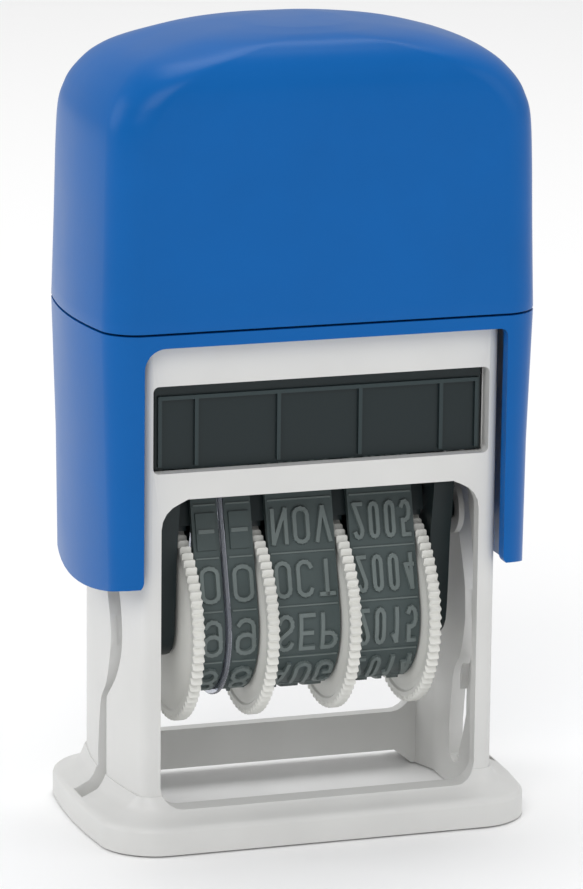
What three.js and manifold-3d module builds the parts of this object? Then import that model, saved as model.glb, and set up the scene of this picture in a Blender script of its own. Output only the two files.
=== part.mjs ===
// Self-inking date stamp: frame on a base flange, press cap over it, ink cartridge,
// and a type carriage with four thumb wheels that turns over as the cap goes down.
// Millimetres, +Z up, origin at the centre of the base underside, front towards -Y.
import * as THREE from 'three';
import { mergeVertices } from 'three/addons/utils/BufferGeometryUtils.js';
import Module from 'manifold-3d';

const wasm = await Module();
wasm.setup();

// ---- driving dimensions ----
const STROKE = 22.5;            // press travel of the cap
const FLANGE = { hx: 23.4, hy: 14.27, r: 5, bulge: 1.35, edge: 2.8 };
const FRAME = { hx: 20.2, hy: 10.67, bulge: 1.4, r: 0.9, wall: 1.4, top: 53.0 };
const CAVITY = { wide: 18.6, narrow: 17.6, flat: 6.3 };
const WINDOW = { hx: 17.0, z0: 3.9, rear0: 5.9, side: 36.0, top: 36.9, r: 2.2 };
const SIDE_SLOT = { front: -1.7, back: 1.4, z0: 3.2 };         // its straight lower end
const SLOT_IN = { hx: 17.9, z0: 39.05, z1: 48.07, r: 0.6 };   // cartridge window
const DECK = { z0: 48.8, z1: 50.2 };
const CAP = { hx: 23.9, hy: 12.25, bulge: 1.6, r: 3.0, wall: 1.3, top: 83, foot: 26.1, sag: 1.5 };
const SEAM = { z: 53.7, gap: 0.1 };
const CUTOUT = { hx: 19.25, top: 52.3, r: 2.2, foot: 27.3, corner: 1.0 };
const CEILING = 81.0;
const PIVOT_Z = 30.75;          // carriage hinge above the floor, at rest
const CAM_R = 4.2;              // cam pin above the hinge
const CAM_GROOVE = 19.35;       // bottom of the groove in the side wall, from the middle
const WHEEL_Z = 20.8;           // thumb wheel axle above the floor
const LEG = { x0: 17.75, x1: 18.35, y0: 1.6, y1: 5.6 };
const BRIDGE = { z0: 77.0, z1: 77.8 };
const TRAY = { hx: 17.4, y0: -9.7, y1: 8.9, z0: 39.2, z1: 47.8, rib: 0.4, relief: 0.35 };
const PAD = { hx: 15.0, hy: 7.0, z0: 39.25, z1: 43.0 };
const ARM = { x0: 13.7, x1: 15.9 };
const RIM = { r: 10.5, tooth: 0.5, teeth: 72, thick: 1.2, bore: 1.15 };
const DRUM_R = 6.6;
const BELT = { r: 7.55, top: 38.65, nose: 0.9, hy: 2.2, thick: 0.7 };
const AXLE_R = 0.9;
const FIN = { gap: 0.1, inset: 2.8, low: 22, high: 40 };   // spacers between the bands
const PIN_X0 = 13.75;           // inner end of the pins in the arms
const SPRING = { r: 4.2, wire: 0.3, turns: 6, sides: 7 };
const WHEELS = [
  { name: 'day_tens', rim: -13.4, band: [-12.0, -9.2], drum: [-12.3, -9.2] },
  { name: 'day_ones', rim: -5.4, band: [-8.5, -5.6], drum: [-8.5, -5.3] },
  { name: 'month', rim: 3.45, band: [-4.0, 3.2], drum: [-4.0, 3.55] },
  { name: 'year', rim: 12.1, band: [4.85, 11.9], drum: [4.85, 12.2] },
];

// ---- solids ----
function solid(geometry) {
  const g = geometry.clone();
  for (const key of Object.keys(g.attributes)) if (key !== 'position') g.deleteAttribute(key);
  const m = mergeVertices(g, 1e-4);
  const keep = [];
  const idx = m.index.array;
  for (let i = 0; i < idx.length; i += 3) {
    const [a, b, c] = [idx[i], idx[i + 1], idx[i + 2]];
    if (a !== b && b !== c && a !== c) keep.push(a, b, c);
  }
  return new wasm.Manifold(new wasm.Mesh({
    numProp: 3,
    vertProperties: new Float32Array(m.attributes.position.array),
    triVerts: new Uint32Array(keep),
  }));
}

function asGeometry(manifold) {
  const mesh = manifold.getMesh();
  const g = new THREE.BufferGeometry();
  g.setAttribute('position', new THREE.BufferAttribute(new Float32Array(mesh.vertProperties), 3));
  g.setIndex(new THREE.BufferAttribute(new Uint32Array(mesh.triVerts), 1));
  const flat = g.toNonIndexed();
  flat.computeVertexNormals();
  return flat;
}

const union = (...list) => list.reduce((a, b) => a.add(b));
const V = (x, y, z) => new THREE.Vector3(x, y, z);

// ---- outlines ----
function circle(u, v, r, n = 24) {
  return Array.from({ length: n }, (_, i) => {
    const t = (2 * Math.PI * i) / n;
    return [u + r * Math.cos(t), v + r * Math.sin(t)];
  });
}

// rectangle with rounded corners; radii start at the lower left and go round
function rounded(u0, u1, v0, v1, radii, n = 5) {
  const r = Array.isArray(radii) ? radii : [radii, radii, radii, radii];
  const at = [[u0, v0, 1, 1, 180], [u1, v0, -1, 1, 270], [u1, v1, -1, -1, 0], [u0, v1, 1, -1, 90]];
  const out = [];
  at.forEach(([u, v, su, sv, start], k) => {
    if (r[k] < 0.01) { out.push([u, v]); return; }
    for (let i = 0; i <= n; i++) {
      const t = ((start + (90 * i) / n) * Math.PI) / 180;
      out.push([u + su * r[k] + r[k] * Math.cos(t), v + sv * r[k] + r[k] * Math.sin(t)]);
    }
  });
  return out;
}

function hull(points) {
  const p = [...points].sort((a, b) => a[0] - b[0] || a[1] - b[1]);
  const cross = (o, a, b) => (a[0] - o[0]) * (b[1] - o[1]) - (a[1] - o[1]) * (b[0] - o[0]);
  const half = (list) => {
    const h = [];
    for (const q of list) {
      while (h.length > 1 && cross(h[h.length - 2], h[h.length - 1], q) <= 1e-9) h.pop();
      h.push(q);
    }
    h.pop();
    return h;
  };
  return [...half(p), ...half(p.reverse())];
}

function shapeOf(outline, holes) {
  const shape = new THREE.Shape(outline.map(([u, v]) => new THREE.Vector2(u, v)));
  for (const h of holes) shape.holes.push(new THREE.Path(h.map(([u, v]) => new THREE.Vector2(u, v))));
  return shape;
}

const AXES = {
  x: [V(0, 1, 0), V(0, 0, 1), V(1, 0, 0)],    // outline in (y, z)
  y: [V(-1, 0, 0), V(0, 0, 1), V(0, 1, 0)],   // outline in (-x, z)
  z: [V(1, 0, 0), V(0, 1, 0), V(0, 0, 1)],    // outline in (x, y)
};

function prism(axis, outline, a, b, holes = []) {
  const g = new THREE.ExtrudeGeometry(shapeOf(outline, holes), {
    depth: b - a, bevelEnabled: false, steps: 1, curveSegments: 1,
  });
  g.translate(0, 0, a);
  g.applyMatrix4(new THREE.Matrix4().makeBasis(...AXES[axis]));
  return solid(g);
}

const box = (x0, x1, y0, y1, z0, z1) =>
  prism('z', [[x0, y0], [x1, y0], [x1, y1], [x0, y1]], z0, z1);
const rod = (u, v, r, a, b, n = 24) => prism('x', circle(u, v, r, n), a, b);
const bothSides = (make) => [make(-1), make(1)];
const boxX = (s, x0, x1, ...rest) => (s > 0 ? box(x0, x1, ...rest) : box(-x1, -x0, ...rest));
const rodX = (s, u, v, r, x0, x1, n) => (s > 0 ? rod(u, v, r, x0, x1, n) : rod(u, v, r, -x1, -x0, n));
const prismX = (s, outline, x0, x1, holes) =>
  (s > 0 ? prism('x', outline, x0, x1, holes) : prism('x', outline, -x1, -x0, holes));

// plan outline with rounded corners and gently bowed left and right sides
function plan(hx, hy, r, bulge, n = 4, side = 4) {
  const w = hx - bulge;
  const pts = [];
  const corners = rounded(-w, w, -hy, hy, r, n);
  corners.forEach((p, i) => {
    pts.push(p);
    const q = corners[(i + 1) % corners.length];
    if (Math.abs(p[0] - q[0]) < 1e-6 && Math.abs(p[1] - q[1]) > 0.1) {
      for (let k = 1; k < side; k++) pts.push([p[0], p[1] + ((q[1] - p[1]) * k) / side]);
    }
  });
  return pts.map(([x, y]) => [x * (1 + (bulge / w) * (1 - (y / hy) ** 2)), y]);
}

// closed skin through plan outlines of equal count, one per height
function loft(levels) {
  const rings = levels.map(([z, pts]) => pts.map(([x, y]) => V(x, y, z)));
  const tri = [];
  const n = rings[0].length;
  for (let k = 0; k + 1 < rings.length; k++) {
    for (let i = 0; i < n; i++) {
      const j = (i + 1) % n;
      const [a, b, c, d] = [rings[k][i], rings[k][j], rings[k + 1][j], rings[k + 1][i]];
      tri.push(a, b, c, a, c, d);
    }
  }
  const [low, high] = [rings[0], rings[rings.length - 1]];
  const [cl, ch] = [V(0, 0, levels[0][0]), V(0, 0, levels[levels.length - 1][0])];
  for (let i = 0; i < n; i++) {
    const j = (i + 1) % n;
    tri.push(cl, low[j], low[i], ch, high[i], high[j]);
  }
  const g = new THREE.BufferGeometry().setFromPoints(tri);
  return solid(g);
}

// ---- frame ----
function camAt(s) {
  const a = (Math.PI * s) / STROKE;
  return [-CAM_R * Math.sin(a), PIVOT_Z - s + CAM_R * Math.cos(a)];
}

// strip of half width w along the way the cam pin takes
function camTrack(w, steps = 24) {
  const left = [];
  const right = [];
  for (let i = 0; i <= steps; i++) {
    const s = (STROKE * i) / steps;
    const [p, q] = [camAt(s - 0.05), camAt(s + 0.05)];
    const d = Math.hypot(q[0] - p[0], q[1] - p[1]);
    const [ny, nz] = [-(q[1] - p[1]) / d, (q[0] - p[0]) / d];
    const c = camAt(s);
    left.push([c[0] - w * ny, c[1] - w * nz]);
    right.push([c[0] + w * ny, c[1] + w * nz]);
  }
  return [...left, ...right.reverse()];
}

function archWindow(z0) {
  const pts = [];
  const { hx, side, top, r } = WINDOW;
  rounded(-hx, hx, z0, side, [r, r, 2.8, 2.8]).forEach((p) => {
    const arch = p[1] > side - 0.01 ? top - side : 0;
    pts.push([p[0], p[1] + arch * (1 - (p[0] / hx) ** 2)]);
  });
  return pts;
}

function baseFrame() {
  const f = FLANGE;
  // a soft outer edge, then a hollow rise to the plates
  const skirt = [[0, f.hx, f.hy, f.r], [f.edge - 0.6, f.hx, f.hy, f.r],
    [f.edge - 0.2, f.hx - 0.1, f.hy - 0.12, 4.9], [f.edge + 0.1, f.hx - 0.4, f.hy - 0.5, 4.6],
    [f.edge + 0.25, f.hx - 0.9, f.hy - 1.1, 4.2], [3.3, 22.0, 12.5, 3.8], [3.7, 21.2, 11.8, 3.1],
    [4.3, 20.75, 11.25, 2.3], [5.2, 20.35, 10.8, 1.3]];
  const flange = loft(skirt.map(([z, hx, hy, r]) => [z, plan(hx, hy, r, f.bulge, 9)]));
  const walls = prism('z', plan(FRAME.hx, FRAME.hy, FRAME.r, FRAME.bulge, 3, 8), 0.5, FRAME.top);
  const iy = FRAME.hy - FRAME.wall;
  const c = CAVITY;
  const hollow = prism('z', [[-c.narrow, -iy], [c.narrow, -iy], [c.wide, -c.flat], [c.wide, c.flat],
    [c.narrow, iy], [-c.narrow, iy], [-c.wide, c.flat], [-c.wide, -c.flat]], -1, FRAME.top + 1);
  const deck = box(-18.9, 18.9, -iy - 0.3, iy + 0.3, DECK.z0, DECK.z1);
  const peg = prism('z', circle(0, 0, 3.3), DECK.z1 - 0.5, DECK.z1 + 2.2);
  const ledges = [];
  for (const s of [-1, 1]) {
    ledges.push(boxX(s, 16.2, 18.9, -iy - 0.3, -6.7, 37.4, 38.9));
    ledges.push(boxX(s, 16.2, 18.9, 6.7, iy + 0.3, 37.4, 38.9));
  }
  let body = flange.add(walls).subtract(hollow);
  body = union(body, deck, peg, ...ledges);
  body = body.subtract(prism('y', archWindow(WINDOW.z0), -20, -iy + 0.5));
  body = body.subtract(prism('y', archWindow(WINDOW.rear0), iy - 0.5, 20));
  const w = SLOT_IN;
  body = body.subtract(prism('y', rounded(-w.hx, w.hx, w.z0, w.z1, w.r), -20, -iy + 0.5));
  // rear bar stands clear of the paper in mid span
  body = body.subtract(prism('y', [[-17.2, -1], [17.2, -1], [17.2, 0], [15.2, 1.6], [-15.2, 1.6],
    [-17.2, 0]], iy - 1, 20));
  const edge = (knots, n) => new THREE.SplineCurve(knots.map(([y, z]) => new THREE.Vector2(y, z)))
    .getPoints(n).map((q) => [q.x, q.y]);
  const { front: slotFront, back: slotBack, z0: slotFoot } = SIDE_SLOT;
  const back = [[slotBack, 7], [0.4, 12.4], [-1.5, 14.9], [-2.5, 17.4], [-3.0, 20], [-2.8, 22.2],
    [-2.2, 24.2], [-0.8, 27.5], [0.5, 31], [0.9, 36.2]];
  const front = [[-2.6, 36.2], [-3.4, 31.5], [-4.4, 28.2], [-5.6, 24.5], [-6, 21.3], [-5.6, 18.6],
    [-4.3, 16.2], [-2.3, 14.1]];
  const slot = [[slotBack, slotFoot], ...edge(back, 30), ...edge(front, 24), [-1.8, 13.6],
    [slotFront, 13], [slotFront, slotFoot]];
  for (const s of [-1, 1]) {
    body = body.subtract(prismX(s, slot, 17.9, 22));
    body = body.subtract(prismX(s, camTrack(1.3), 18.0, CAM_GROOVE));
    body = body.subtract(rodX(s, 0, camAt(0)[1], 1.3, 18.0, CAM_GROOVE));
    body = body.subtract(rodX(s, 0, camAt(STROKE)[1], 1.3, 18.0, CAM_GROOVE));
    body = body.subtract(boxX(s, 19.9, 22.8, slotFront, slotBack, 1.9, 6));
    body = body.subtract(boxX(s, 17.4, 18.6, 1.2, 6.0, DECK.z0 - 1, DECK.z1 + 1));
  }
  return body;
}

// ---- cap ----
// half width and half depth of the outside at each height, with the plan corner radius
const CAP_LEVELS = [
  [26.1, 23.25, 12.15, 2.6], [40, 23.45, 12.2, 3.0], [53.7, 23.9, 12.25, 3.0],
  [62, 23.65, 12.25, 3.1], [70, 23.45, 12.25, 3.2], [74, 23.2, 12.25, 3.4], [76, 22.6, 12.25, 3.8],
  [77.2, 22.0, 12.24, 4.2], [78.4, 21.0, 12.18, 4.6], [79.5, 19.8, 11.88, 5.0],
  [80.5, 18.0, 11.36, 5.4], [81.4, 15.1, 10.6, 5.6], [82.2, 11.8, 9.6, 5.6],
  [82.7, 8.4, 7.9, 5.0], [83, 5.0, 5.2, 2.6],
];

function capLevels(z0, z1, inset = 0) {
  const at = (z) => {
    const k = Math.max(0, CAP_LEVELS.findIndex((l) => l[0] >= z) - 1);
    const [a, b] = [CAP_LEVELS[k], CAP_LEVELS[k + 1]];
    const t = (z - a[0]) / (b[0] - a[0]);
    return a.map((v, i) => (i ? v + t * (b[i] - v) : z));
  };
  const heights = CAP_LEVELS.map((l) => l[0]).filter((z) => z > z0 + 0.2 && z < z1 - 0.05);
  return [z0, ...heights, z1].map((z) => {
    const [, hx, hy, r] = at(z);
    const k = Math.max(0.8, r - inset * 0.8);
    return [z, plan(hx - inset, hy - inset, k, CAP.bulge, 5)];
  });
}

function capTop() {
  let body = loft(capLevels(SEAM.z + SEAM.gap, CAP.top));
  const inner = capLevels(SEAM.z + SEAM.gap, 80.5, CAP.wall);
  inner.unshift([SEAM.z - 1, inner[0][1]]);
  inner.push([CEILING, plan(16.0, 10.0, 4.4, CAP.bulge, 5)]);
  body = body.subtract(loft(inner));
  for (const x of [-11, 0, 11]) body = body.add(box(x - 1.2, x + 1.2, -3.4, 5, BRIDGE.z1 + 0.3, 81.6));
  return body;
}

function capSkirt() {
  let body = loft(capLevels(CAP.foot, SEAM.z - SEAM.gap));
  const inner = capLevels(CAP.foot, SEAM.z - SEAM.gap, CAP.wall);
  inner.unshift([CAP.foot - 1, inner[0][1]]);
  inner.push([SEAM.z + 1, inner[inner.length - 1][1]]);
  body = body.subtract(loft(inner));
  // open bay at the front and the back between the side wings, their inner corners rounded
  const c = CUTOUT;
  const turn = Array.from({ length: 7 }, (_, i) => (Math.PI / 2) * (i / 6));
  const corner = turn.map((t) => [c.hx + c.corner * (1 - Math.sin(t)), c.foot + c.corner * (1 - Math.cos(t))]);
  const upper = rounded(-c.hx, c.hx, c.foot + 2, c.top, [0, 0, c.r, 0.8]).slice(1, -1);
  const bay = [[-c.hx - c.corner, CAP.foot - 1], [c.hx + c.corner, CAP.foot - 1], ...corner, ...upper,
    ...corner.map(([u, v]) => [-u, v]).reverse()];
  body = body.subtract(prism('y', bay, -20, -CAP.hy + 3));
  body = body.subtract(prism('y', bay.map(([u, v]) => [-u, v]).reverse(), CAP.hy - 3, 20));
  return body.subtract(prism('x', belowWings(), -30, 30));
}

// the side wings hang lowest in the middle of their depth
function belowWings(n = 20) {
  const [half, low] = [CAP.hy + 1, CAP.foot - 2];
  const edge = Array.from({ length: n + 1 }, (_, i) => {
    const y = half * (1 - (2 * i) / n);
    return [y, CAP.foot + CAP.sag * (y / CAP.hy) ** 2];
  });
  return [[-half, low], [half, low], ...edge];
}

function yokeStrap() {
  const { x0, x1, y0, y1 } = LEG;
  const bridge = prism('z', rounded(-x1, x1, -4.6, y1, [1.5, 1.5, 0, 0]), BRIDGE.z0, BRIDGE.z1);
  let body = bridge;
  for (const s of [-1, 1]) {
    const leg = boxX(s, x0, x1, y0, y1, PIVOT_Z - 2.0, BRIDGE.z0 + 0.4);
    const lug = prismX(s, hull([...circle(0, PIVOT_Z, 2.8), [y1, PIVOT_Z - 2], [y1, PIVOT_Z + 5],
      [y0, PIVOT_Z + 5]]), x0, x1);
    // the lug stays outside the way of the cam pin
    const clearOfPin = lug.subtract(rodX(s, 0, PIVOT_Z + CAM_R, 1.35, x0 - 1, x1 + 1));
    body = union(body, leg, clearOfPin).subtract(rodX(s, 0, PIVOT_Z, 1.3, x0 - 1, x1 + 1));
  }
  return body;
}

function returnSpring() {
  class Helix extends THREE.Curve {
    getPoint(t, target = V(0, 0, 0)) {
      const a = t * SPRING.turns * 2 * Math.PI;
      const [lo, hi] = [DECK.z1 + SPRING.wire + 0.1, BRIDGE.z0 - SPRING.wire - 0.1];
      return target.set(SPRING.r * Math.cos(a), SPRING.r * Math.sin(a), lo + (hi - lo) * t);
    }
  }
  const { sides, turns, wire: radius } = SPRING;
  const tube = new THREE.TubeGeometry(new Helix(), turns * 18, radius, sides, false);
  const pos = tube.attributes.position;
  const tri = [];
  for (const i of tube.index.array) tri.push(V(0, 0, 0).fromBufferAttribute(pos, i));
  // a flat cap closes each end of the wire
  const ring = sides + 1;
  const rows = pos.count / ring;
  for (const [row, flip] of [[0, true], [rows - 1, false]]) {
    const p = (k) => V(0, 0, 0).fromBufferAttribute(pos, row * ring + (k % sides));
    for (let k = 1; k < sides - 1; k++) tri.push(p(0), flip ? p(k) : p(k + 1), flip ? p(k + 1) : p(k));
  }
  return tri;
}

function pivotPin(s) {
  const pin = rodX(s, 0, PIVOT_Z, 1.0, PIN_X0, LEG.x1 + 0.1);
  return pin.add(rodX(s, 0, PIVOT_Z, 1.6, ARM.x1 + 0.3, LEG.x0 - 0.3));
}

// ---- cartridge ----
function padTray() {
  const t = TRAY;
  let body = box(-t.hx, t.hx, t.y0, t.y1, t.z0, t.z1);
  const [px, py] = [PAD.hx + 0.3, PAD.hy + 0.3];
  body = body.subtract(box(-px, px, -py, py, t.z0 - 1, PAD.z1 + 0.3));
  body = body.subtract(box(-t.hx + 1.4, t.hx - 1.4, t.y0 + 2.4, t.y1 - 1.4, PAD.z1 + 1.5, t.z1 + 1));
  // thin raised ribs on the front face
  body = body.subtract(box(-20, 20, t.y0 - 1, t.y0 + t.relief, t.z0 - 1, t.z1 + 1));
  const [bottom, line] = [t.z0 + 0.3, t.z1 - 1.0];
  for (const x of [-16.9, -13.05, -4.35, 4.35, 13.05, 16.9]) {
    body = body.add(box(x - t.rib / 2, x + t.rib / 2, t.y0, t.y0 + 1, bottom, line));
  }
  body = body.add(box(-17.1, 17.1, t.y0, t.y0 + 1, line - t.rib, line));
  body = body.add(box(-0.7, 0.7, t.y0 + 2, t.y1 - 1, PAD.z1 + 1.0, t.z1 - 1));
  return body;
}

const inkPad = () => box(-PAD.hx, PAD.hx, -PAD.hy, PAD.hy, PAD.z0, PAD.z1);

// ---- type carriage ----
const tips = (r, n) => [-BELT.hy, BELT.hy].flatMap((y) => circle(y, BELT.top - BELT.nose, r, n));
const loop = (r, nose, n = 40) => hull([...circle(0, WHEEL_Z, r, n), ...tips(nose, 16)]);

function arm(s) {
  const side = [[4.7, 21.5], [5.0, 25], [5.3, 29.4], [6.2, 34.4], [6.15, 35.6], [5.5, 36.7], [4.4, 37.3],
    [3.2, 37.5]];
  const foot = [];
  for (let i = 0; i <= 10; i++) {
    const t = Math.PI * (1 + i / 10);
    foot.push([4.6 * Math.cos(t), WHEEL_Z + 3.5 * Math.sin(t)]);
  }
  const outline = [...foot, ...side, ...side.map(([y, z]) => [-y, z]).reverse()];
  const holes = [circle(0, PIVOT_Z, 1.3), circle(0, WHEEL_Z, AXLE_R + 0.3), circle(0, PIVOT_Z + CAM_R, 1.2)]
    .map((h) => h.reverse());
  return prismX(s, outline, ARM.x0, ARM.x1, holes);
}

function anvilBridge() {
  const end = ARM.x0 - 0.3;
  const core = prism('x', hull([[-5.2, 31.7], [5.2, 31.7], ...tips(0.2, 12)]), -end, end);
  const insideBands = prism('x', loop(BELT.r - BELT.thick - 0.2, 0.02), -ARM.x0, ARM.x0);
  const finSpace = prism('x', loop(BELT.r - FIN.inset, BELT.nose - 0.3), -ARM.x0, ARM.x0);
  let body = core.intersect(insideBands);
  for (const w of WHEELS) {
    const [x0, x1] = [w.rim + FIN.gap, w.rim + RIM.thick - FIN.gap];
    const rimSpace = rod(0, WHEEL_Z, RIM.r + 0.4, x0 - 1, x1 + 1, 64);
    const fin = box(x0, x1, -BELT.r, BELT.r, FIN.low, FIN.high);
    body = body.add(fin.intersect(finSpace).subtract(rimSpace));
  }
  return body;
}

function dayDivider() {
  const outline = loop(8.1, BELT.nose + 0.15, 48);
  const core = hull([[-6.4, 31.2], [6.4, 31.2], ...tips(0.5, 12)]);
  return prism('x', outline, -9.05, -8.65, [circle(0, WHEEL_Z, AXLE_R + 0.3).reverse()])
    .subtract(prism('x', core, -10, -8).intersect(prism('x', loop(7.0, 0.35), -11, -7)));
}

function band(w) {
  return prism('x', loop(BELT.r, BELT.nose), w.band[0], w.band[1],
    [loop(BELT.r - BELT.thick, BELT.nose - BELT.thick).reverse()]);
}

function thumbWheel(w) {
  const teeth = [];
  for (let i = 0; i < RIM.teeth; i++) {
    for (const [f, r] of [[0.0, RIM.r], [0.5, RIM.r - RIM.tooth]]) {
      const t = (2 * Math.PI * (i + f)) / RIM.teeth;
      teeth.push([r * Math.cos(t), WHEEL_Z + r * Math.sin(t)]);
    }
  }
  const rim = prism('x', teeth, w.rim, w.rim + RIM.thick);
  const drum = rod(0, WHEEL_Z, DRUM_R, w.drum[0], w.drum[1], 32);
  return rim.add(drum).subtract(rod(0, WHEEL_Z, RIM.bore, -20, 20));
}

const wheelAxle = () => rod(0, WHEEL_Z, AXLE_R, -ARM.x1 - 0.6, ARM.x1 + 0.6);

function axleClip(s) {
  return prismX(s, circle(0, WHEEL_Z, 2.0), ARM.x1 + 0.15, ARM.x1 + 0.45,
    [circle(0, WHEEL_Z, AXLE_R + 0.25).reverse()]);
}

function camPin(s) {
  return rodX(s, 0, PIVOT_Z + CAM_R, 0.9, PIN_X0, CAM_GROOVE - 0.3);
}

// ---- assembly ----
const BLUE = 0x005ca8;
const GREY = 0xd8d8d7;
const DARK = 0x2b393c;
const RUBBER = 0x424a4c;
const STEEL = 0x9da3a6;
const stamp = new THREE.Group();
stamp.name = 'self_inking_stamp';

function add(name, geometry, color, options = {}) {
  const g = geometry instanceof THREE.BufferGeometry ? geometry : asGeometry(geometry);
  const material = new THREE.MeshStandardMaterial({ color, roughness: 0.5, ...options });
  material.name = name;
  const mesh = new THREE.Mesh(g, material);
  mesh.name = name;
  stamp.add(mesh);
}

add('base_frame', baseFrame(), GREY);
add('cap_top', capTop(), BLUE);
add('cap_skirt', capSkirt(), BLUE);
add('yoke_strap', yokeStrap(), GREY);
const wire = new THREE.BufferGeometry().setFromPoints(returnSpring());
wire.computeVertexNormals();
add('return_spring', wire, STEEL, { metalness: 0.9, roughness: 0.3 });
add('pad_tray', padTray(), DARK);
add('ink_pad', inkPad(), 0x16202c, { roughness: 0.9 });
add('anvil_bridge', anvilBridge(), DARK);
add('day_divider', dayDivider(), 0xb9d2e6, { transparent: true, opacity: 0.6, roughness: 0.1 });
add('wheel_axle', wheelAxle(), STEEL, { metalness: 0.9, roughness: 0.3 });
bothSides((s) => {
  const side = s < 0 ? 'left' : 'right';
  add(`arm_${side}`, arm(s), DARK);
  add(`pivot_pin_${side}`, pivotPin(s), DARK);
  add(`cam_pin_${side}`, camPin(s), DARK);
  add(`axle_clip_${side}`, axleClip(s), STEEL, { metalness: 0.9, roughness: 0.3 });
});
for (const w of WHEELS) {
  add(`${w.name}_band`, band(w), RUBBER, { roughness: 0.8 });
  add(`${w.name}_wheel`, thumbWheel(w), 0xdededa);
}

export default stamp;
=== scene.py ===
"""Self-inking date stamp: finished pieces, materials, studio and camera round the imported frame."""

import math

import bmesh
import bpy
from mathutils import Matrix, Vector


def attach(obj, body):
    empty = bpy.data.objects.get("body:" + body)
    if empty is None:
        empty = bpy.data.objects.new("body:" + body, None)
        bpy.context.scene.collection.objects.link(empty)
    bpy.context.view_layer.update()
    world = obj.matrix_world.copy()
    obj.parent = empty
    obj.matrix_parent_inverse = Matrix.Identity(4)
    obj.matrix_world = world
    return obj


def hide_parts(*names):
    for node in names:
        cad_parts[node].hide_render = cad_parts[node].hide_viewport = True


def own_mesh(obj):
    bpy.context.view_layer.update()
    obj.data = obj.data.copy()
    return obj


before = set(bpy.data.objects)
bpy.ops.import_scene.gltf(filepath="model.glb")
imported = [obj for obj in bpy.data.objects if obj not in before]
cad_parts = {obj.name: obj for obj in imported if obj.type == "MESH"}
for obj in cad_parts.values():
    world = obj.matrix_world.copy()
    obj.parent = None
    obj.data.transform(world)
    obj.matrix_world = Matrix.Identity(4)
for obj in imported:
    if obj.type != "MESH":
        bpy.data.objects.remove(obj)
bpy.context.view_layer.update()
MM = 0.001

# ---- sizes in millimetres, as in the part ----
CAP_WALL = 1.3
CAP_BULGE = 1.6
CAP_FOOT = 26.1
CAP_SAG = 1.5  # the side wings hang lowest in the middle of their depth
CAP_HY = 12.25
SEAM_Z = 53.7
SEAM_GAP = 0.1
SEAM_ROUND = (0.04, 0.16)  # inset and height of the small round on the seam edge
CAP_TOP = 83.0
CEILING = 81.0
CUTOUT = {"hx": 19.25, "top": 52.3, "r_left": 2.2, "r_right": 0.8, "foot": 27.3, "corner": 1.0}
WHEEL_Z = 20.8
RIM = {"r": 10.5, "tooth": 0.5, "teeth": 72, "thick": 1.2, "bore": 1.15, "drum": 6.6}
GROOVE = {"inside": 8.4, "floor": (8.7, 9.3), "outside": 9.5, "deep": 0.18}  # ring in a wheel's face
BELT = {"r": 7.55, "top": 38.65, "nose": 0.9, "hy": 2.2, "thick": 0.7}
ROWS = 12
LETTER_H = 3.9
RELIEF = 0.33
STROKE_HALF = 0.23  # half the width of a character's stroke
BLOCK = {"half": 1.1, "top": 1.02, "relief": 0.2}  # plinth under a dash
RIDGE = {"inset": 0.25, "half": 0.12, "top": 0.07, "relief": 0.14}  # line between two rows
SUNK = 0.12  # how far the print's foot goes into the belt
ROW_SHIFT = -0.6  # the bands stand a little off their click
WELD = 0.000002  # metres


# ---- small helpers ----
def mesh_object(name, verts, faces):
    mesh = bpy.data.meshes.new(name)
    mesh.from_pydata([Vector(v) * MM for v in verts], [], faces)
    bm = bmesh.new()
    bm.from_mesh(mesh)
    bmesh.ops.recalc_face_normals(bm, faces=bm.faces)
    bm.to_mesh(mesh)
    bm.free()
    obj = bpy.data.objects.new(name, mesh)
    bpy.context.scene.collection.objects.link(obj)
    return obj


def soften(obj, width, segments, angle):
    """Rounds the sharp edges of a piece and shades the rest smoothly."""
    mod = obj.modifiers.new("edges", "BEVEL")
    mod.width = width * MM
    mod.segments = segments
    mod.limit_method = "ANGLE"
    mod.angle_limit = math.radians(angle)
    smooth(obj, angle)


def smooth(obj, angle):
    """Shades the piece smoothly, with its edges over this many degrees left sharp."""
    bm = bmesh.new()
    bm.from_mesh(obj.data)
    limit = math.radians(angle)
    for e in bm.edges:
        e.smooth = len(e.link_faces) == 2 and e.calc_face_angle(0) < limit
    for f in bm.faces:
        f.smooth = True
    bm.to_mesh(obj.data)
    bm.free()


def dress(obj, mat):
    obj.data.materials.clear()
    obj.data.materials.append(mat)


# ---- materials ----
def srgb(r, g, b):
    def lin(c):
        c /= 255
        return c / 12.92 if c <= 0.04045 else ((c + 0.055) / 1.055) ** 2.4

    return (lin(r), lin(g), lin(b), 1.0)


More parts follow.
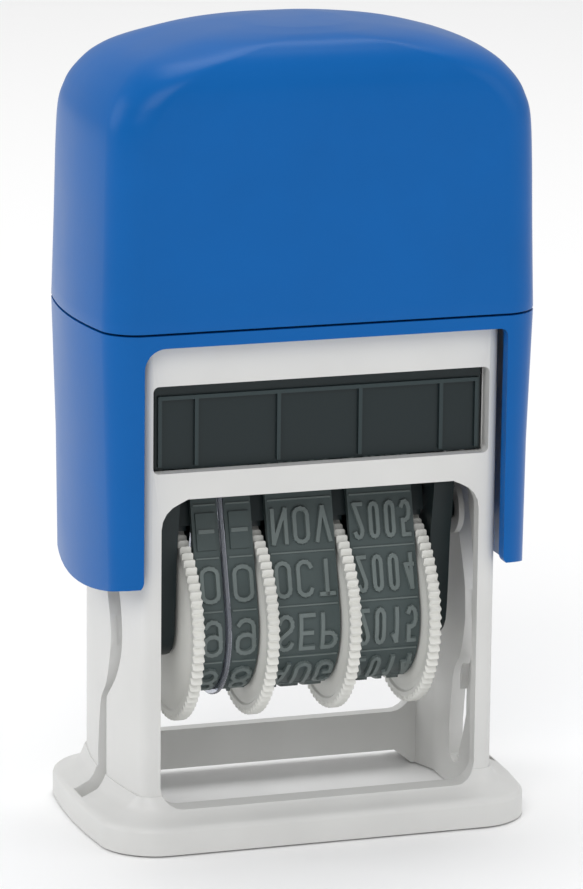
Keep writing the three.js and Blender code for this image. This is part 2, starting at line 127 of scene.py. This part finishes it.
def material(name, color, rough, grain, relief, vary=0.06, tint=0.03, metal=0.0, shine=0.5):
    """A moulded or ground finish: fine grain in the surface, slow drift in gloss and colour."""
    mat = bpy.data.materials.new(name)
    mat.use_nodes = True
    nt = mat.node_tree
    shader = nt.nodes["Principled BSDF"]
    shader.inputs["Metallic"].default_value = metal
    shader.inputs["Specular IOR Level"].default_value = shine
    coords = nt.nodes.new("ShaderNodeTexCoord")

    def noise(scale, detail):
        n = nt.nodes.new("ShaderNodeTexNoise")
        n.inputs["Scale"].default_value = scale
        n.inputs["Detail"].default_value = detail
        nt.links.new(coords.outputs["Object"], n.inputs["Vector"])
        return n

    slow, fine = noise(grain * 0.08, 3), noise(grain, 4)
    gloss = nt.nodes.new("ShaderNodeMapRange")
    gloss.inputs["To Min"].default_value = max(0.02, rough - vary)
    gloss.inputs["To Max"].default_value = rough + vary
    nt.links.new(slow.outputs["Fac"], gloss.inputs["Value"])
    nt.links.new(gloss.outputs["Result"], shader.inputs["Roughness"])
    ramp = nt.nodes.new("ShaderNodeValToRGB")
    ramp.color_ramp.elements[0].position = 0.3
    ramp.color_ramp.elements[1].position = 0.7
    ramp.color_ramp.elements[0].color = [c * (1 - tint) for c in color[:3]] + [1]
    ramp.color_ramp.elements[1].color = [min(1, c * (1 + tint)) for c in color[:3]] + [1]
    nt.links.new(slow.outputs["Fac"], ramp.inputs["Fac"])
    nt.links.new(ramp.outputs["Color"], shader.inputs["Base Color"])
    bump = nt.nodes.new("ShaderNodeBump")
    bump.inputs["Strength"].default_value = 0.35
    bump.inputs["Distance"].default_value = relief * MM
    nt.links.new(fine.outputs["Fac"], bump.inputs["Height"])
    nt.links.new(bump.outputs["Normal"], shader.inputs["Normal"])
    return mat


def clear_plastic():
    mat = material("clear_plastic", srgb(212, 217, 230), 0.06, grain=900, relief=0.005, vary=0.03)
    shader = mat.node_tree.nodes["Principled BSDF"]
    shader.inputs["Transmission Weight"].default_value = 0.8
    return mat


BLUE = material("blue_plastic", srgb(0, 92, 166), 0.32, grain=1500, relief=0.01, shine=0.17)
GREY = material("grey_plastic", srgb(214, 214, 212), 0.42, grain=1400, relief=0.012)
DARK = material("dark_plastic", srgb(27, 38, 40), 0.34, grain=1500, relief=0.012, shine=0.3)
# painted highlight: a lighter dark plastic for the front faces of the cartridge's ribs, where they catch
# the light
RIB_HIGHLIGHT = material("dark_plastic_rib_highlight", srgb(46, 58, 60), 0.4, grain=1500, relief=0.012, shine=0.3)
WHEEL = material("wheel_plastic", srgb(226, 226, 221), 0.45, grain=1500, relief=0.012)
RUBBER = material("band_rubber", srgb(66, 78, 78), 0.5, grain=2600, relief=0.03, tint=0.08)
# painted highlight: the raised type and row lines a lighter grey than the belt, where they catch the
# light
TYPE_HIGHLIGHT = material("band_type", srgb(104, 114, 113), 0.42, grain=2600, relief=0.02, tint=0.08)
FELT = material("ink_felt", srgb(22, 26, 40), 0.95, grain=3500, relief=0.15, tint=0.2)
STEEL = material("steel", srgb(190, 193, 196), 0.28, grain=2200, relief=0.01, metal=1.0)
SPRING = material("spring_steel", srgb(170, 174, 178), 0.22, grain=2600, relief=0.008, metal=1.0)
CLEAR = clear_plastic()


# ---- outlines ----
def rounded(u0, u1, v0, v1, radii, n):
    out = []
    corners = ((u0, v0, 1, 1, 180), (u1, v0, -1, 1, 270), (u1, v1, -1, -1, 0), (u0, v1, 1, -1, 90))
    for (u, v, su, sv, start), r in zip(corners, radii):
        if r < 0.01:
            out.append((u, v))
            continue
        for i in range(n + 1):
            t = math.radians(start + 90 * i / n)
            out.append((u + su * r + r * math.cos(t), v + sv * r + r * math.sin(t)))
    return out


def plan(hx, hy, r, bulge=CAP_BULGE, n=10, side=10):
    """Rounded rectangle with gently bowed left and right sides."""
    w = hx - bulge
    corners = rounded(-w, w, -hy, hy, (r,) * 4, n)
    pts = []
    for i, p in enumerate(corners):
        pts.append(p)
        q = corners[(i + 1) % len(corners)]
        if abs(p[0] - q[0]) < 1e-6 and abs(p[1] - q[1]) > 0.1:
            pts += [(p[0], p[1] + (q[1] - p[1]) * k / side) for k in range(1, side)]
    return [(x * (1 + bulge / w * (1 - (y / hy) ** 2)), y) for x, y in pts]


# ---- cap ----
# height, half width, half depth, plan corner radius
CAP_LEVELS = (
    (CAP_FOOT, 23.25, 12.15, 2.6), (40, 23.45, 12.2, 3.0),
    (SEAM_Z, 23.9, 12.25, 3.0), (62, 23.65, 12.25, 3.1),
    (70, 23.45, 12.25, 3.2), (74, 23.2, 12.25, 3.4), (76, 22.6, 12.25, 3.8), (77.2, 22.0, 12.24, 4.2),
    (78.4, 21.0, 12.18, 4.6), (79.5, 19.8, 11.88, 5.0), (80.5, 18.0, 11.36, 5.4), (81.4, 15.1, 10.6, 5.6),
    (82.2, 11.8, 9.6, 5.6), (82.7, 8.4, 7.9, 5.0), (CAP_TOP, 5.0, 5.2, 2.6),
)
CURVED_LEVELS = range(3, 13)  # the spans of the list that bend; the others are straight


def curve_through(a, b, c, d, f):
    """Catmull-Rom curve from b to c, with its neighbours a and d."""
    square = (2 * a - 5 * b + 4 * c - d) * f * f
    cube = (3 * b - a - 3 * c + d) * f**3
    return 0.5 * (2 * b + (c - a) * f + square + cube)


def cap_rings(t0, t1, steps, inset=0.0):
    """Plan outlines between two places on the level list, joined by a smooth curve."""
    rings = []
    for i in range(steps + 1):
        t = t0 + (t1 - t0) * i / steps
        k = min(int(t), len(CAP_LEVELS) - 2)
        f = t - k
        p = [CAP_LEVELS[max(0, min(len(CAP_LEVELS) - 1, k + d))] for d in (-1, 0, 1, 2)]
        if k in CURVED_LEVELS:
            row = [curve_through(*values, f) for values in zip(*p)]
        else:
            row = [b + (c - b) * f for b, c in zip(p[1], p[2])]
        z, hx, hy, r = row
        rings.append([(x, y, z) for x, y in plan(hx - inset, hy - inset, max(0.8, r - inset * 0.8))])
    return rings


def level_at(z):
    for k in range(len(CAP_LEVELS) - 1):
        a, b = CAP_LEVELS[k][0], CAP_LEVELS[k + 1][0]
        if a <= z <= b:
            return k + (z - a) / (b - a)
    return len(CAP_LEVELS) - 1.0


def skin(name, rings, closed_loop, end_points=()):
    """Faces between rings: either a ring of rings, or a strip closed by a point at each end."""
    verts = [v for ring in rings for v in ring]
    n = len(rings[0])
    faces = []
    last = len(rings) if closed_loop else len(rings) - 1
    for k in range(last):
        a, b = k * n, ((k + 1) % len(rings)) * n
        faces += [(a + i, a + (i + 1) % n, b + (i + 1) % n, b + i) for i in range(n)]
    for ring_index, point in end_points:
        c = len(verts)
        verts.append(point)
        a = (ring_index % len(rings)) * n
        faces += [(a + i, a + (i + 1) % n, c) for i in range(n)]
    return mesh_object(name, verts, faces)


def cap_top():
    low = SEAM_Z + SEAM_GAP
    outer = cap_rings(level_at(low), len(CAP_LEVELS) - 1, 70)
    inner = cap_rings(level_at(low), level_at(80.5), 24, CAP_WALL)
    ceiling = [(x, y, CEILING) for x, y in plan(16.0, 10.0, 4.4)]
    # a small round on the seam edge
    lip = [cap_rings(level_at(low), level_at(low) + 0.01, 1, e)[0] for e in SEAM_ROUND]
    lip[0] = [(x, y, low + SEAM_ROUND[0]) for x, y, _ in lip[0]]
    outer[0] = [(x, y, low + SEAM_ROUND[1]) for x, y, _ in outer[0]]
    rings = outer[::-1] + lip + inner + [ceiling]
    obj = skin("cap_top_shell", rings, False, ((0, (0, 0, CAP_TOP)), (-1, (0, 0, CEILING))))
    smooth(obj, 40)
    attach(obj, "cap")
    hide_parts("cap_top")
    dress(obj, BLUE)


def cap_skirt():
    low, high = level_at(CAP_FOOT), level_at(SEAM_Z - SEAM_GAP)
    outer = cap_rings(low, high, 12)
    inner = cap_rings(low, high, 12, CAP_WALL)
    obj = skin("cap_skirt_shell", outer + inner[::-1], True)
    hx, foot, r = CUTOUT["hx"], CUTOUT["foot"], CUTOUT["corner"]
    # open bay at the front and the back between the side wings, their inner corners rounded
    turn = [math.pi / 2 * i / 8 for i in range(9)]
    corner = [(hx + r * (1 - math.sin(t)), foot + r * (1 - math.cos(t))) for t in turn]
    radii = (0, 0, CUTOUT["r_right"], CUTOUT["r_left"])
    upper = rounded(-hx, hx, foot + 2, CUTOUT["top"], radii, 8)[2:]
    bay = [(-hx - r, CAP_FOOT - 1), (hx + r, CAP_FOOT - 1)] + corner + upper
    bay += [(-x, z) for x, z in reversed(corner)]
    for y0, y1 in ((-20, -CAP_HY + 3), (CAP_HY - 3, 20)):
        carve(obj, slab(bay, y0, y1, lambda x, z, y: (x, y, z)))
    half, steps = CAP_HY + 1, 48
    below = [(-half, CAP_FOOT - 2), (half, CAP_FOOT - 2)]
    for i in range(steps + 1):
        y = half * (1 - 2 * i / steps)
        below.append((y, CAP_FOOT + CAP_SAG * (y / CAP_HY) ** 2))
    carve(obj, slab(below, -30, 30, lambda y, z, x: (x, y, z)))
    soften(obj, 0.22, 3, 40)
    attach(obj, "cap")
    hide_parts("cap_skirt")
    dress(obj, BLUE)


def slab(outline, a, b, place):
    """The outline carried from a to b, where place makes a point of space."""
    m = len(outline)
    verts = [place(u, v, w) for w in (a, b) for u, v in outline]
    faces = [tuple(range(m)), tuple(range(m, 2 * m))]
    faces += [(i, (i + 1) % m, m + (i + 1) % m, m + i) for i in range(m)]
    return mesh_object("cutter", verts, faces)


def carve(obj, cutter):
    mod = obj.modifiers.new("cut", "BOOLEAN")
    mod.operation = "DIFFERENCE"
    mod.solver = "EXACT"
    mod.object = cutter
    bpy.context.view_layer.update()
    graph = bpy.context.evaluated_depsgraph_get()
    done = bpy.data.meshes.new_from_object(obj.evaluated_get(graph))
    obj.modifiers.clear()
    obj.data = done
    bpy.data.objects.remove(cutter)


# ---- date bands ----
def belt_path(r, nose):
    """Points of the loop round the wheel and the anvil, from the anvil's middle down the front,
    each with its outward normal, and the distance run at each point."""
    z_top = BELT["top"] - BELT["nose"]
    # direction of the straight run that touches the nose circle and the wheel circle
    dy, dz = BELT["hy"], z_top - WHEEL_Z
    dist = math.hypot(dy, dz)
    lean = math.asin((r - nose) / dist) - math.atan2(dy, dz)
    raw = [(-BELT["hy"] * i / 6, z_top + nose, 0.0, 1.0) for i in range(7)]
    for i in range(1, 13):
        a = math.pi / 2 + (math.pi / 2 - lean) * i / 12
        ny, nz = math.cos(a), math.sin(a)
        raw.append((-BELT["hy"] + nose * ny, z_top + nose * nz, ny, nz))
    for i in range(61):
        a = math.pi - lean + (math.pi / 2 + lean) * i / 60
        ny, nz = math.cos(a), math.sin(a)
        raw.append((r * ny, WHEEL_Z + r * nz, ny, nz))
    mirror = [(-y, z, -ny, nz) for y, z, ny, nz in reversed(raw)]
    raw += mirror[1:]
    lengths = [0.0]
    for p, q in zip(raw, raw[1:]):
        lengths.append(lengths[-1] + math.hypot(q[0] - p[0], q[1] - p[1]))
    return raw, lengths


PATH, REACH = belt_path(BELT["r"], BELT["nose"])
LOOP = REACH[-1]


def on_belt(s, height):
    """The place at distance s along the belt and this height above it."""
    s %= LOOP
    lo, hi = 0, len(REACH) - 1
    while hi - lo > 1:
        mid = (lo + hi) // 2
        lo, hi = (mid, hi) if REACH[mid] <= s else (lo, mid)
    f = (s - REACH[lo]) / max(1e-9, REACH[hi] - REACH[lo])
    y, z, ny, nz = (a + (b - a) * f for a, b in zip(PATH[lo], PATH[hi]))
    k = math.hypot(ny, nz)
    return y + ny / k * height, z + nz / k * height


def arc(cu, cv, ru, rv, start, end, n=5):
    turn = [math.radians(start + (end - start) * i / n) for i in range(n + 1)]
    return [(cu + ru * math.cos(t), cv + rv * math.sin(t)) for t in turn]


# characters in a box one wide and one high, each a list of strokes
FOOT = arc(0.5, 0.2, 0.5, 0.2, 180, 360, 6)
RING = arc(0.5, 0.8, 0.5, 0.2, 0, 180, 6) + FOOT + [(1, 0.8)]
SIX = arc(0.5, 0.8, 0.45, 0.2, 20, 180, 5) + FOOT + arc(0.5, 0.38, 0.5, 0.2, 0, 170, 5)
BROW = arc(0.5, 0.8, 0.5, 0.2, 10, 180, 6)
BOWL = [(0, 0), (0, 1)] + arc(0.5, 0.78, 0.5, 0.22, 90, -90, 6) + [(0, 0.56)]
HOOK = arc(0.5, 0.8, 0.5, 0.2, 160, -30, 6)
BELLY = arc(0.45, 0.28, 0.55, 0.28, 90, -150, 7)
STROKES = {
    "0": [RING], "O": [RING], "6": [SIX], "9": [[(1 - u, 1 - v) for u, v in SIX]],
    "1": [[(0.15, 0.8), (0.6, 1), (0.6, 0)]],
    "2": [HOOK + [(0, 0), (1, 0)]],
    "3": [arc(0.45, 0.78, 0.5, 0.22, 150, -90, 7), BELLY],
    "4": [[(0.75, 0), (0.75, 1), (0, 0.3), (1, 0.3)]],
    "5": [[(0.95, 1), (0.1, 1), (0.05, 0.56)] + BELLY],
    "7": [[(0, 1), (1, 1), (0.4, 0)]],
    "8": [arc(0.5, 0.77, 0.45, 0.23, -90, 270, 10), arc(0.5, 0.27, 0.5, 0.27, -90, 270, 10)],
    "-": [[(0.1, 0.5), (0.9, 0.5)]],
    "A": [[(0, 0), (0.5, 1), (1, 0)], [(0.2, 0.33), (0.8, 0.33)]],
    "B": [BOWL, arc(0.5, 0.28, 0.5, 0.28, 90, -90, 6) + [(0, 0)]],
    "C": [BROW + arc(0.5, 0.2, 0.5, 0.2, 180, 350, 6)],
    "D": [
        [(0, 0), (0, 1)] + arc(0.4, 0.7, 0.6, 0.3, 90, 0, 4)
        + arc(0.4, 0.3, 0.6, 0.3, 0, -90, 4) + [(0, 0)]
    ],
    "E": [[(1, 1), (0, 1), (0, 0), (1, 0)], [(0, 0.52), (0.85, 0.52)]],
    "F": [[(1, 1), (0, 1), (0, 0)], [(0, 0.52), (0.85, 0.52)]],
    "G": [BROW + FOOT + [(1, 0.45), (0.55, 0.45)]],
    "J": [[(1, 1)] + arc(0.5, 0.2, 0.5, 0.2, 0, -180, 6)],
    "L": [[(0, 1), (0, 0), (1, 0)]],
    "M": [[(0, 0), (0, 1), (0.5, 0.35), (1, 1), (1, 0)]],
    "N": [[(0, 0), (0, 1), (1, 0), (1, 1)]],
    "P": [BOWL], "R": [BOWL, [(0.5, 0.56), (1, 0)]],
    "S": [arc(0.5, 0.78, 0.5, 0.22, 15, 215, 7) + arc(0.5, 0.24, 0.5, 0.24, 45, -165, 7)],
    "T": [[(0, 1), (1, 1)], [(0.5, 1), (0.5, 0)]],
    "U": [[(0, 1)] + FOOT + [(1, 1)]],
    "V": [[(0, 1), (0.5, 0), (1, 1)]],
    "Y": [[(0, 1), (0.5, 0.5), (1, 1)], [(0.5, 0.5), (0.5, 0)]],
}
DAYS = ["1", "-", "-", "0", "9", "8", "7", "6", "5", "4", "3", "2"]
MONTHS = ["JAN", "DEC", "NOV", "OCT", "SEP", "AUG", "JUL", "JUN", "MAY", "APR", "MAR", "FEB"]
YEARS = ["2007", "2006", "2005", "2004", "2015", "2014", "2013", "2012", "2011", "2010", "2009", "2008"]
# name, the band's sides, the left face of the wheel's rim, the far end of its drum, the band's words
WHEELS = (
    ("day_tens", (-12.0, -9.2), -13.4, -9.2, DAYS),
    ("day_ones", (-8.5, -5.6), -5.4, -8.5, DAYS),
    ("month", (-4.0, 3.2), 3.45, -4.0, MONTHS),
    ("year", (4.85, 11.9), 12.1, 4.85, YEARS),
)


def raised_stroke(verts, faces, a, b, half, top_half, relief):
    """A straight bar with sloping sides on the belt, from a to b, each (x, distance along the belt)."""
    length = math.hypot(b[0] - a[0], b[1] - a[1])
    d = ((b[0] - a[0]) / length, (b[1] - a[1]) / length)
    n = (-d[1], d[0])
    steps = max(1, int(abs(b[1] - a[1]) / 0.8) + 1)
    first = len(verts)
    for i in range(steps + 1):
        f = i / steps
        end = -1 if i == 0 else 1 if i == steps else 0
        for w, h in ((half, -SUNK), (top_half, relief)):
            for side in (1, -1):
                x = a[0] + (b[0] - a[0]) * f + d[0] * end * w * 0.8 + n[0] * side * w
                s = a[1] + (b[1] - a[1]) * f + d[1] * end * w * 0.8 + n[1] * side * w
                y, z = on_belt(s, h)
                verts.append((x, y, z))
    for i in range(steps):
        p, q = first + 4 * i, first + 4 * i + 4
        # order in a section: low left, low right, top left, top right
        faces += [(p, q, q + 2, p + 2), (p + 1, p + 3, q + 3, q + 1)]
        faces += [(p + 2, q + 2, q + 3, p + 3), (p, p + 1, q + 1, q)]
    p, q = first, first + 4 * steps
    faces += [(p, p + 2, p + 3, p + 1), (q, q + 1, q + 3, q + 2)]


def band(key, x0, x1, rows):
    """A rubber belt from x0 to x1 with a word raised in each row."""
    verts, faces = [], []
    count = 150
    for x in (x0, x1):
        for i in range(count):
            s = LOOP * i / count
            verts += [(x, *on_belt(s, 0)), (x, *on_belt(s, -BELT["thick"]))]
    for i in range(count):
        a, b = 2 * i, 2 * ((i + 1) % count)
        c, d = a + 2 * count, b + 2 * count
        faces += [(a, b, d, c), (a + 1, c + 1, d + 1, b + 1), (a, a + 1, b + 1, b), (c, d, d + 1, c + 1)]
    plain = list(range(len(faces)))
    pitch = LOOP / ROWS
    margin, gap = 0.32, 0.5
    for k, word in enumerate(rows):
        letters = len(word)
        centre = pitch * k + ROW_SHIFT
        wide = (x1 - x0 - 2 * margin - gap * (letters - 1)) / letters
        half = STROKE_HALF
        for j, ch in enumerate(word):
            left = x0 + margin + j * (wide + gap) + half
            span = wide - 2 * half
            tall = LETTER_H - 2 * half
            if ch == "-":
                middle, reach = (x0 + x1) / 2, BLOCK["half"]
                first = len(faces)
                ends = (middle, centre - reach), (middle, centre + reach)
                raised_stroke(verts, faces, *ends, reach, BLOCK["top"], BLOCK["relief"])
                plain += range(first, len(faces))
            for line in STROKES[ch]:
                at = [(left + u * span, centre + (v - 0.5) * tall) for u, v in line]
                for i, (a, b) in enumerate(zip(at, at[1:])):
                    # neighbours differ a hair in height, so that no two faces coincide
                    height = RELIEF - 0.007 * (i % 3)
                    raised_stroke(verts, faces, a, b, half + 0.03, half - 0.03, height)
        edge = centre + pitch / 2
        ends = (x0 + RIDGE["inset"], edge), (x1 - RIDGE["inset"], edge)
        raised_stroke(verts, faces, *ends, RIDGE["half"], RIDGE["top"], RIDGE["relief"])
    obj = mesh_object(key + "_band_type", verts, faces)
    smooth(obj, 30)
    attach(obj, "carriage")
    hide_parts(key + "_band")
    dress(obj, RUBBER)
    # the raised faces get a lighter colour than the belt: a painted highlight
    obj.data.materials.append(TYPE_HIGHLIGHT)
    kept = set(plain)
    for poly in obj.data.polygons:
        poly.material_index = 0 if poly.index in kept else 1


# ---- thumb wheels ----
def thumb_wheel(key, rim_x, drum_end):
    """A disc with rounded teeth, a bore, and the drum that carries the band, on either side of it."""
    per = 6  # points to a tooth
    n = RIM["teeth"] * per
    x0, x1 = rim_x, rim_x + RIM["thick"]
    soft = 0.16

    def tooth_ring(x, less):
        ring = []
        for i in range(n):
            t = 2 * math.pi * i / n
            r = RIM["r"] - RIM["tooth"] * (0.5 - 0.5 * math.cos(2 * math.pi * (i % per) / per)) - less
            ring.append((x, r * math.cos(t), WHEEL_Z + r * math.sin(t)))
        return ring

    def circle(x, r):
        turn = [2 * math.pi * i / n for i in range(n)]
        return [(x, r * math.cos(t), WHEEL_Z + r * math.sin(t)) for t in turn]

    def groove(x, depth):
        """From the inside out: the groove in the face at x."""
        low = [circle(x + depth, r) for r in GROOVE["floor"]]
        return [circle(x, GROOVE["inside"])] + low + [circle(x, GROOVE["outside"])]

    bore, drum_r, edge = RIM["bore"], RIM["drum"], 0.2
    rings = [circle(x0, bore)] + groove(x0, GROOVE["deep"])
    rings += [tooth_ring(x0, soft), tooth_ring(x0 + soft, 0)]
    rings += [tooth_ring(x1 - soft, 0), tooth_ring(x1, soft)]
    rings += groove(x1, -GROOVE["deep"])[::-1]
    if drum_end < x0:
        free = [circle(drum_end, bore), circle(drum_end, drum_r - edge), circle(drum_end + edge, drum_r)]
        rings = free + [circle(x0, drum_r)] + rings[1:] + [circle(x1, bore)]
    else:
        rings += [circle(x1, drum_r), circle(drum_end - edge, drum_r)]
        rings += [circle(drum_end, drum_r - edge), circle(drum_end, bore)]
    obj = skin(key + "_wheel_disc", rings, True)
    smooth(obj, 38)
    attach(obj, key + "_roller")
    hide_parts(key + "_wheel")
    dress(obj, WHEEL)


# ---- CAD nodes that are shown as they are, with edges softened ----
def finish_nodes():
    # material, slot, and the width of the softened edges in millimetres
    looks = {
        "base_frame": (GREY, "grey_plastic", 0.22), "pad_tray": (DARK, "dark_plastic", 0.1),
        "ink_pad": (FELT, "ink_felt", 0.3), "anvil_bridge": (DARK, "dark_plastic", 0.08),
        "arm_left": (DARK, "dark_plastic", 0.15), "arm_right": (DARK, "dark_plastic", 0.15),
        "day_divider": (CLEAR, "clear_plastic", 0.08), "yoke_strap": (GREY, "grey_plastic", 0.08),
        "wheel_axle": (STEEL, "steel", 0.08),
    }
    for side in ("left", "right"):
        for part in ("pivot_pin_", "cam_pin_"):
            looks[part + side] = (DARK, "dark_plastic", 0.08)
        looks["axle_clip_" + side] = (STEEL, "steel", 0.08)
    for name, (mat, slot, width) in looks.items():
        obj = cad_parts[name]
        dress(obj, mat)
        mod = obj.modifiers.new("weld", "WELD")
        mod.merge_threshold = WELD
        mod = obj.modifiers.new("edges", "BEVEL")
        mod.width = width * MM
        mod.segments = 2
        mod.limit_method = "ANGLE"
        mod.angle_limit = math.radians(38)
        for poly in obj.data.polygons:
            poly.use_smooth = True
        if "custom_normal" in obj.data.attributes:
            obj.data.attributes.remove(obj.data.attributes["custom_normal"])
        sharp = obj.modifiers.new("normals", "WEIGHTED_NORMAL")
        sharp.keep_sharp = True
    paint_rib_highlight(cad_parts["pad_tray"])


def paint_rib_highlight(tray):
    """The front faces of the cartridge's ribs are coloured a little lighter: a painted highlight."""
    tray.data.materials.append(RIB_HIGHLIGHT)
    front = min(v.co.y for v in tray.data.vertices)
    for poly in tray.data.polygons:
        if poly.center.y < front + 0.05 * MM:
            poly.material_index = 1


def return_spring():
    """The coil stands on the deck and moves with the frame."""
    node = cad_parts["return_spring"]
    obj = bpy.data.objects.new("return_spring_coil", node.data.copy())
    bpy.context.scene.collection.objects.link(obj)
    weld = bmesh.new()
    weld.from_mesh(obj.data)
    bmesh.ops.remove_doubles(weld, verts=weld.verts, dist=WELD)
    weld.to_mesh(obj.data)
    weld.free()
    smooth(obj, 50)
    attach(obj, "frame")
    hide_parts("return_spring")
    dress(obj, SPRING)
    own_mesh(obj)


# ---- studio ----
def studio():
    """A white floor and sky with four soft lamps."""
    half, below = 3000, -0.2
    corners = [(x * half, y * half, 0) for x, y in ((-1, -1), (1, -1), (1, 1), (-1, 1))]
    floor = mesh_object("floor", corners, [(0, 1, 2, 3)])
    floor.location.z = below * MM
    mat = bpy.data.materials.new("paper_floor")
    mat.use_nodes = True
    shader = mat.node_tree.nodes["Principled BSDF"]
    shader.inputs["Base Color"].default_value = (0.96, 0.96, 0.96, 1)
    shader.inputs["Roughness"].default_value = 0.9
    floor.data.materials.append(mat)
    for name, place, energy, size in (
        ("key", (-0.45, -0.75, 0.75), 3.6, 0.6),
        ("fill", (0.8, -0.5, 0.45), 1.3, 0.7),
        ("top", (0.1, 0.25, 0.95), 3.4, 0.6),
        ("edge", (-0.8, 0.25, 0.4), 1.6, 0.5),
    ):
        data = bpy.data.lights.new(name, "AREA")
        data.energy = energy
        data.size = size
        lamp = bpy.data.objects.new(name, data)
        lamp.location = place
        aim = Vector((0, 0, 0.04)) - Vector(place)
        lamp.rotation_euler = aim.to_track_quat("-Z", "Y").to_euler()
        bpy.context.scene.collection.objects.link(lamp)
    world = bpy.data.worlds.new("studio")
    world.use_nodes = True
    sky = world.node_tree.nodes["Background"]
    sky.inputs["Color"].default_value = (1, 1, 1, 1)
    sky.inputs["Strength"].default_value = 0.54
    bpy.context.scene.world = world
    bpy.context.scene.view_settings.view_transform = "Standard"


def camera():
    """Seen from the front left, a little above, from about half a metre."""
    yaw, pitch, roll = (math.radians(a) for a in (-18.202, 13.594, 0.585))
    distance, target = 0.52854, Vector((0.00019, 0, 0.03854))
    back = Vector((math.sin(yaw) * math.cos(pitch), -math.cos(yaw) * math.cos(pitch), math.sin(pitch)))
    right = Vector((math.cos(yaw), math.sin(yaw), 0))
    up = back.cross(right)
    c, s = math.cos(roll), math.sin(roll)
    right, up = right * c + up * s, up * c - right * s
    data = bpy.data.cameras.new("camera")
    data.sensor_width = 36.0
    data.lens = 207.007694
    cam = bpy.data.objects.new("camera", data)
    turn = Matrix((right, up, back)).transposed()
    cam.matrix_world = Matrix.Translation(target + back * distance) @ turn.to_4x4()
    bpy.context.scene.collection.objects.link(cam)
    bpy.context.scene.camera = cam


cap_top()
cap_skirt()
for key, sides, _, _, words in WHEELS:
    band(key, *sides, words)
for key, _, rim_x, drum_end, _ in WHEELS:
    thumb_wheel(key, rim_x, drum_end)
finish_nodes()
return_spring()
studio()
camera()

bpy.context.view_layer.update()
